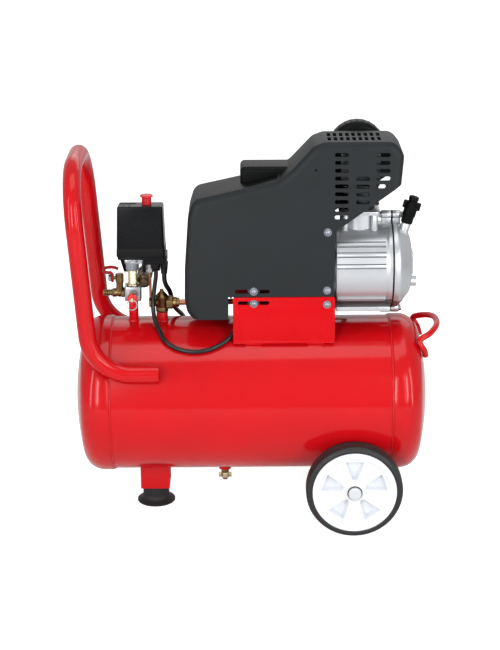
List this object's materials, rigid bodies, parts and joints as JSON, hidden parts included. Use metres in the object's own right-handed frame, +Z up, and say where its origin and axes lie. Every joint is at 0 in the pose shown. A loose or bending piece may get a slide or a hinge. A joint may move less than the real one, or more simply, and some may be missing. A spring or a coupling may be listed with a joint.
{
  "type": "air compressor",
  "caption": "Portable direct-drive air compressor: motor and pump under a slotted cowl on a horizontal tank with a push handle, rear wheels and a front rubber foot.",
  "frame": {"origin": "on the ground under the middle of the machine, midway between its ends and between its wheels", "axes": "+X along the tank from the push handle to the lift handle, +Y away from the side with the slots and screws, +Z up"},
  "size_m": [0.5761, 0.4108, 0.6116],
  "materials": {
    "red_paint": "gloss sprayed enamel with a faint orange peel",
    "black_plastic": "moulded plastic with a fine grain",
    "gloss_black": "smooth moulded plastic",
    "rubber": "dull rubber",
    "tyre": "dull solid rubber",
    "wheel_white": "smooth moulded plastic",
    "cast_silver": "die cast, lightly grained",
    "steel": "machined",
    "zinc": "bright zinc plate",
    "brass": "machined, slightly dull",
    "copper": "drawn tube, slightly tarnished",
    "red_plastic": "smooth moulded plastic",
    "red_metal": "dipped coating",
    "red_cap": "anodised cap",
    "red_needle": "painted sheet"
  },
  "bodies": {
    "frame": {"tank_shell": "red_paint", "tank_head_front": "red_paint", "tank_head_rear": "red_paint", "push_handle": "red_paint", "lift_handle": "red_paint", "bracket_plate_near": "red_paint", "bracket_plate_far": "red_paint", "foot_bracket": "red_paint", "axle_bracket": "red_paint", "rubber_foot": "rubber", "cover_gasket": "rubber", "gland_cord": "rubber", "motor_lead": "rubber", "cord_run": "rubber", "cord_coil": "rubber", "mains_plug": "rubber", "axle_bolt_near": "zinc", "axle_bolt_far": "zinc", "switch_plate": "zinc", "switch_nut": "zinc", "manifold_block": "zinc", "stator": "steel", "valve_plate": "steel", "pressure_gauge": "steel", "end_shield": "cast_silver", "crankcase": "cast_silver", "end_cover": "cast_silver", "cylinder": "cast_silver", "cylinder_head": "cast_silver", "breather_plug": "black_plastic", "air_filter": "black_plastic", "cowl": "black_plastic", "cord_tie": "black_plastic", "capacitor": "gloss_black", "switch_base": "gloss_black", "switch_cover": "gloss_black", "nipple": "brass", "safety_valve_body": "brass", "outlet_cock_body": "brass", "regulator_body": "brass", "check_valve": "brass", "drain_cock_body": "brass", "discharge_pipe": "copper", "unloader_tube": "copper"},
    "wheel_near": {"rim_near": "wheel_white", "tyre_near": "tyre"},
    "wheel_far": {"rim_far": "wheel_white", "tyre_far": "tyre"},
    "shaft": {"crankshaft": "steel", "rotor": "steel", "cooling_fan": "black_plastic"},
    "piston": {"piston": "steel"},
    "rod": {"connecting_rod": "steel"},
    "knob": {"switch_knob": "red_plastic"},
    "lever": {"cock_lever": "red_metal"},
    "plunger": {"safety_plunger": "red_cap"},
    "ring": {"pull_ring": "steel"},
    "tap": {"drain_tap": "brass"},
    "regulator": {"regulator_knob": "black_plastic"},
    "needle": {"gauge_needle": "red_needle"}
  },
  "joints": [
    {"name": "wheel_near_spin", "type": "hinge", "parent": "frame", "child": "wheel_near", "pos_m": [0.1465, -0.131, 0.075], "axis": [0, 1, 0], "continuous": true},
    {"name": "wheel_far_spin", "type": "hinge", "parent": "frame", "child": "wheel_far", "pos_m": [0.1465, 0.131, 0.075], "axis": [0, 1, 0], "continuous": true},
    {"name": "crank_spin", "type": "hinge", "parent": "frame", "child": "shaft", "pos_m": [0, 0, 0.4], "axis": [1, 0, 0], "continuous": true},
    {"name": "piston_slide", "type": "slide", "parent": "frame", "child": "piston", "axis": [0, 0, 1], "range_m": [0, 0.04]},
    {"name": "rod_swing", "type": "hinge", "parent": "piston", "child": "rod", "pos_m": [0.156, 0, 0.482], "axis": [1, 0, 0], "range_deg": [-11, 11]},
    {"name": "knob_pull", "type": "slide", "parent": "frame", "child": "knob", "axis": [0, 0, 1], "range_m": [0, 0.006]},
    {"name": "outlet_lever", "type": "hinge", "parent": "frame", "child": "lever", "pos_m": [-0.227, -0.004, 0.38], "axis": [1, 0, 0], "range_deg": [0, 90]},
    {"name": "safety_pull", "type": "slide", "parent": "frame", "child": "plunger", "axis": [0, -1, 0], "range_m": [0, 0.003], "stiffness_N_per_m": 400, "springref_m": -0.002},
    {"name": "ring_swing", "type": "hinge", "parent": "plunger", "child": "ring", "pos_m": [-0.1955, -0.0354, 0.353], "axis": [1, 0, 0], "range_deg": [-85, 5]},
    {"name": "drain_turn", "type": "hinge", "parent": "frame", "child": "tap", "pos_m": [-0.055, 0, 0.044], "axis": [0, 0, 1], "range_deg": [0, 360]},
    {"name": "regulator_turn", "type": "hinge", "parent": "frame", "child": "regulator", "pos_m": [-0.18, 0.06, 0.367], "axis": [0, 1, 0], "range_deg": [-720, 720]},
    {"name": "needle_turn", "type": "hinge", "parent": "frame", "child": "needle", "pos_m": [-0.18, 0.0468, 0.421], "axis": [0, -1, 0], "range_deg": [0, 270], "stiffness_Nm_per_rad": 0.00005}
  ]
}
